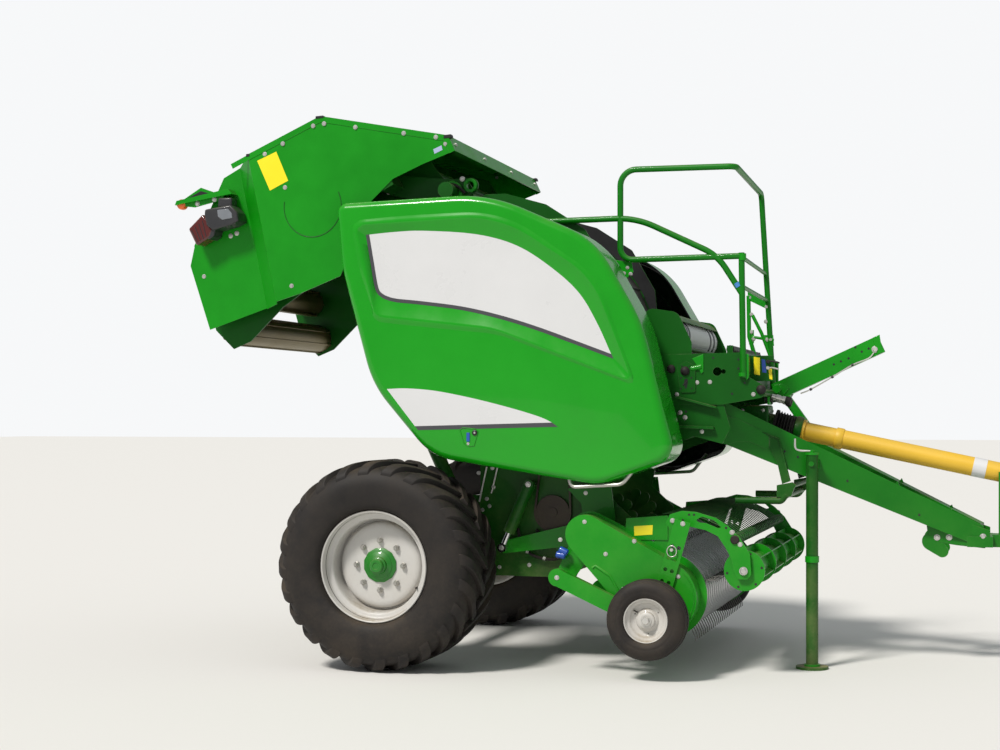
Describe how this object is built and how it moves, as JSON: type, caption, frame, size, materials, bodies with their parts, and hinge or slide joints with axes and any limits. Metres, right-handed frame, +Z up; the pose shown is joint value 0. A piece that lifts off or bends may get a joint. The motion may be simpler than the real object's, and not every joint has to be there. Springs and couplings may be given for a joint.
{
  "type": "round baler",
  "caption": "Towed round baler with raised tailgate, side doors, tined pick-up with gauge wheels, drawbar and driveshaft on two wide tyres.",
  "frame": {"origin": "middle of the footprint at ground level", "axes": "+X forwards along the drawbar, +Y to the machine's left, +Z up"},
  "size_m": [4.9082, 2.744, 3.1452],
  "materials": {
    "green_paint": "satin",
    "door_skin": "gloss moulded panel",
    "rim_paint": "satin",
    "tyre": "matt",
    "roller_steel": "worn, dusty",
    "black_plastic": "matt",
    "black_sheet": "satin",
    "net": "rolled net",
    "yellow_plastic": "matt",
    "bare_steel": "plain",
    "tine_steel": "spring steel",
    "chrome": "polished rod",
    "chain_steel": "oiled roller chain"
  },
  "bodies": {
    "chassis": {"side_frames": "green_paint", "pickup_hangers": "green_paint", "ram_pins": "bare_steel", "drive_chain": "chain_steel", "field_stand": "green_paint", "axle_beam": "green_paint", "front_rollers": "roller_steel", "front_cover": "black_sheet", "platform": "green_paint", "net_box": "green_paint", "net_cover": "black_sheet", "net_roll": "net", "net_feed_roller": "black_plastic", "guard_rails": "green_paint", "drawbar": "green_paint", "hitch_eye": "green_paint", "gearbox": "green_paint", "pto_boot": "black_plastic", "pto_guard": "yellow_plastic", "hose_arm": "green_paint"},
    "wheel_left": {"rim_left": "rim_paint", "hub_left": "green_paint", "tyre_left": "tyre"},
    "wheel_right": {"rim_right": "rim_paint", "hub_right": "green_paint", "tyre_right": "tyre"},
    "tailgate": {"tailgate_side_left": "green_paint", "tailgate_side_right": "green_paint", "tailgate_frame": "green_paint", "tailgate_cover": "green_paint", "tailgate_rollers": "roller_steel", "tail_lamps": "black_plastic", "lamp_arms": "green_paint"},
    "side_door_left": {"door_left": "door_skin", "door_handle_left": "bare_steel"},
    "side_door_right": {"door_right": "door_skin", "door_handle_right": "bare_steel"},
    "pickup": {"pickup_frame": "green_paint", "chain_cases": "green_paint", "stripper_bands": "bare_steel", "gauge_arms": "green_paint"},
    "reel": {"pickup_reel": "green_paint", "reel_tines": "tine_steel"},
    "wind_guard": {"crop_guard": "green_paint", "guard_tines": "tine_steel"},
    "press_roller": {"crop_roller": "green_paint"},
    "gauge_wheel_left": {"gauge_rim_left": "rim_paint", "gauge_tyre_left": "tyre"},
    "gauge_wheel_right": {"gauge_rim_right": "rim_paint", "gauge_tyre_right": "tyre"},
    "rotor": {"feed_rotor": "green_paint"},
    "driveshaft": {"pto_shaft": "bare_steel"},
    "jack": {"parking_jack": "green_paint"},
    "gate_barrel_left": {"gate_ram_barrel_left": "green_paint"},
    "gate_barrel_right": {"gate_ram_barrel_right": "green_paint"},
    "gate_rod_left": {"gate_ram_rod_left": "chrome"},
    "gate_rod_right": {"gate_ram_rod_right": "chrome"},
    "pickup_barrel": {"pickup_ram_barrel": "green_paint"},
    "pickup_rod": {"pickup_ram_rod": "chrome"}
  },
  "joints": [
    {"name": "wheel_left_spin", "type": "hinge", "parent": "chassis", "child": "wheel_left", "pos_m": [-1.024, 1.09, 0.585], "axis": [0, 1, 0], "continuous": true},
    {"name": "wheel_right_spin", "type": "hinge", "parent": "chassis", "child": "wheel_right", "pos_m": [-1.024, -1.09, 0.585], "axis": [0, 1, 0], "continuous": true},
    {"name": "tailgate_lift", "type": "hinge", "parent": "chassis", "child": "tailgate", "pos_m": [-0.754, 0, 2.698], "axis": [0, 1, 0], "range_deg": [-62, 0]},
    {"name": "side_door_left_lift", "type": "hinge", "parent": "chassis", "child": "side_door_left", "pos_m": [-0.489, 1.02, 2.535], "axis": [1, 0, 0], "range_deg": [0, 65]},
    {"name": "side_door_right_lift", "type": "hinge", "parent": "chassis", "child": "side_door_right", "pos_m": [-0.489, -1.02, 2.535], "axis": [-1, 0, 0], "range_deg": [0, 65]},
    {"name": "pickup_lift", "type": "hinge", "parent": "chassis", "child": "pickup", "pos_m": [0.1, 0, 0.765], "axis": [0, 1, 0], "range_deg": [-6, 6]},
    {"name": "reel_spin", "type": "hinge", "parent": "pickup", "child": "reel", "pos_m": [0.516, 0, 0.435], "axis": [0, 1, 0], "continuous": true},
    {"name": "wind_guard_float", "type": "hinge", "parent": "pickup", "child": "wind_guard", "pos_m": [0.576, 0, 0.847], "axis": [0, 1, 0], "range_deg": [-5, 5]},
    {"name": "press_roller_spin", "type": "hinge", "parent": "wind_guard", "child": "press_roller", "pos_m": [0.959, 0, 0.584], "axis": [0, 1, 0], "continuous": true},
    {"name": "gauge_wheel_left_spin", "type": "hinge", "parent": "pickup", "child": "gauge_wheel_left", "pos_m": [0.479, 1.2, 0.331], "axis": [0, 1, 0], "continuous": true},
    {"name": "gauge_wheel_right_spin", "type": "hinge", "parent": "pickup", "child": "gauge_wheel_right", "pos_m": [0.479, -1.2, 0.331], "axis": [0, 1, 0], "continuous": true},
    {"name": "rotor_spin", "type": "hinge", "parent": "chassis", "child": "rotor", "pos_m": [0.1, 0, 0.765], "axis": [0, 1, 0], "continuous": true},
    {"name": "driveshaft_spin", "type": "hinge", "parent": "chassis", "child": "driveshaft", "pos_m": [1.026, 0, 1.353], "axis": [0.9787, 0, -0.2051], "continuous": true},
    {"name": "jack_fold", "type": "hinge", "parent": "chassis", "child": "jack", "pos_m": [1.266, -0.47, 1.145], "axis": [0, 1, 0], "range_deg": [-90, 0]},
    {"name": "gate_ram_left_swing", "type": "hinge", "parent": "chassis", "child": "gate_barrel_left", "pos_m": [-0.724, 0.735, 0.915], "axis": [0, 1, 0], "range_deg": [0, 11.28]},
    {"name": "gate_ram_right_swing", "type": "hinge", "parent": "chassis", "child": "gate_barrel_right", "pos_m": [-0.724, -0.735, 0.915], "axis": [0, 1, 0], "range_deg": [0, 11.28]},
    {"name": "gate_ram_left_stroke", "type": "slide", "parent": "gate_barrel_left", "child": "gate_rod_left", "axis": [-0.4216, 0, 0.9068], "range_m": [-0.72, 0]},
    {"name": "gate_ram_right_stroke", "type": "slide", "parent": "gate_barrel_right", "child": "gate_rod_right", "axis": [-0.4216, 0, 0.9068], "range_m": [-0.72, 0]},
    {"name": "pickup_ram_swing", "type": "hinge", "parent": "chassis", "child": "pickup_barrel", "pos_m": [-0.294, -0.755, 1.023], "axis": [0, 1, 0], "range_deg": [-4.85, 4.85]},
    {"name": "pickup_ram_stroke", "type": "slide", "parent": "pickup_barrel", "child": "pickup_rod", "axis": [-0.4033, 0, -0.9151], "range_m": [-0.0486, 0.0486]}
  ],
  "couplings": [
    {"joint": "gate_ram_left_swing", "follows": "tailgate_lift", "ratio": -0.1819},
    {"joint": "gate_ram_right_swing", "follows": "tailgate_lift", "ratio": -0.1819},
    {"joint": "gate_ram_left_stroke", "follows": "tailgate_lift", "m_per_rad": 0.665},
    {"joint": "gate_ram_right_stroke", "follows": "tailgate_lift", "m_per_rad": 0.665},
    {"joint": "pickup_ram_swing", "follows": "pickup_lift", "ratio": 0.8088},
    {"joint": "pickup_ram_stroke", "follows": "pickup_lift", "m_per_rad": -0.4643}
  ]
}
